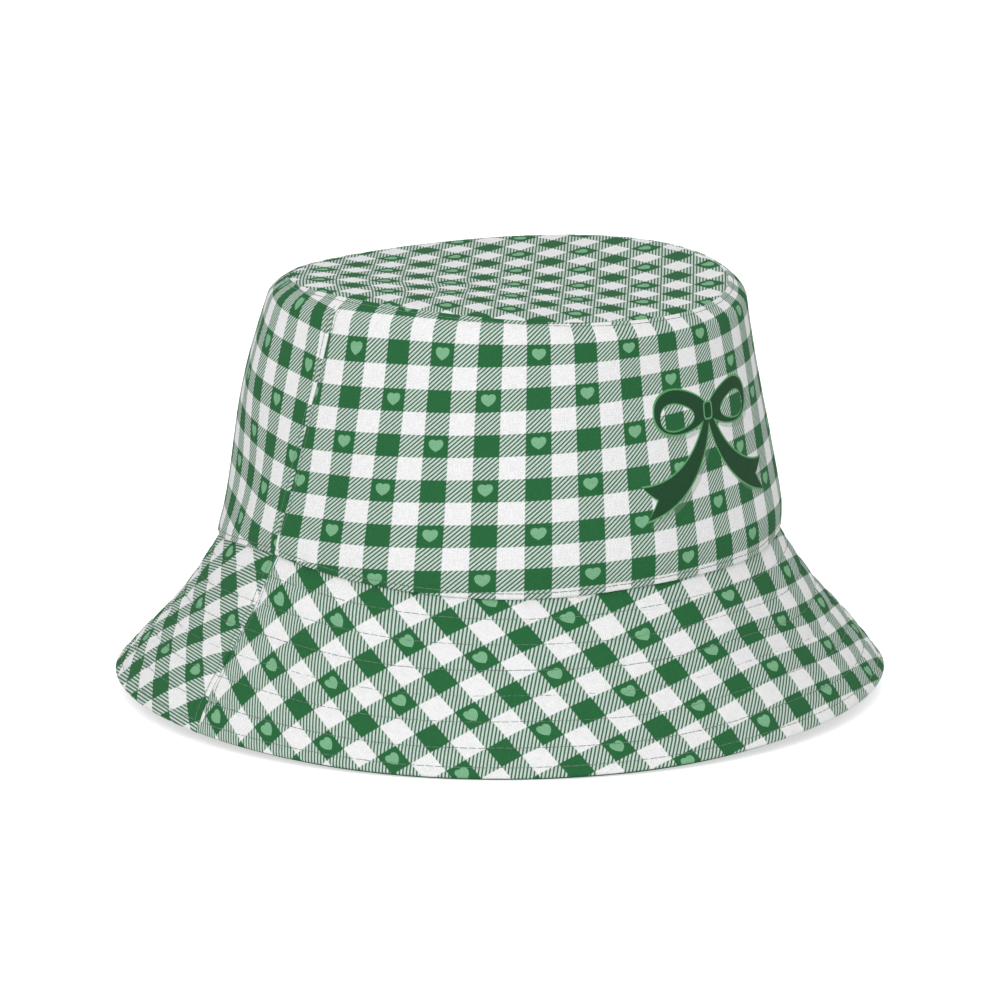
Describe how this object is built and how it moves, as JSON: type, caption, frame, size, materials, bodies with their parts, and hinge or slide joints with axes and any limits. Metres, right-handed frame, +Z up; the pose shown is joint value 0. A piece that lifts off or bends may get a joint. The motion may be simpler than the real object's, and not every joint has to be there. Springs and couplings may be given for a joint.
{
  "type": "bucket hat",
  "caption": "Two-layer cloth bucket hat with a flat round crown, slightly tapered wall and sloping stitched brim; the crown pushes down into the hat to pack it.",
  "frame": {"origin": "centre of the brim's edge, on the surface the hat stands on", "axes": "+Z up through the crown, -Y towards the front of the hat, side seams at -X and +X"},
  "size_m": [0.266, 0.266, 0.1425],
  "materials": {
    "printed_cloth": "fine plain-weave cloth, matt, printed in a green and white check",
    "lining_cloth": "fine plain-weave cloth, matt, plain dark green",
    "interlining": "stiff felted interlining, matt white",
    "thread": "spun polyester sewing thread, grey-green",
    "bobbin_thread": "spun polyester sewing thread, green"
  },
  "bodies": {
    "hat_base": {"outer_wall_front": "printed_cloth", "outer_wall_back": "printed_cloth", "outer_brim_front": "printed_cloth", "outer_brim_back": "printed_cloth", "lining_wall_front": "lining_cloth", "lining_wall_back": "lining_cloth", "under_brim_front": "lining_cloth", "under_brim_back": "lining_cloth", "brim_interlining_front": "interlining", "brim_interlining_back": "interlining", "base_seam_stitching": "thread", "side_seam_stitching_left": "thread", "side_seam_stitching_right": "thread", "brim_seam_stitching_left": "thread", "brim_seam_stitching_right": "thread", "brim_row_stitching": "thread", "brim_edge_stitching": "thread", "under_row_stitching": "bobbin_thread", "under_edge_stitching": "bobbin_thread", "lining_seam_stitching_left": "bobbin_thread", "lining_seam_stitching_right": "bobbin_thread"},
    "crown_top": {"outer_crown_top": "printed_cloth", "lining_crown_top": "lining_cloth", "crown_seam_stitching": "thread", "lining_crown_seam_stitching": "bobbin_thread"}
  },
  "joints": [
    {"name": "crown_collapse", "type": "slide", "parent": "hat_base", "child": "crown_top", "axis": [0, 0, 1], "range_m": [-0.06, 0], "deforming": ["outer_wall_front", "outer_wall_back", "lining_wall_front", "lining_wall_back", "side_seam_stitching_left", "side_seam_stitching_right", "lining_seam_stitching_left", "lining_seam_stitching_right"]}
  ]
}
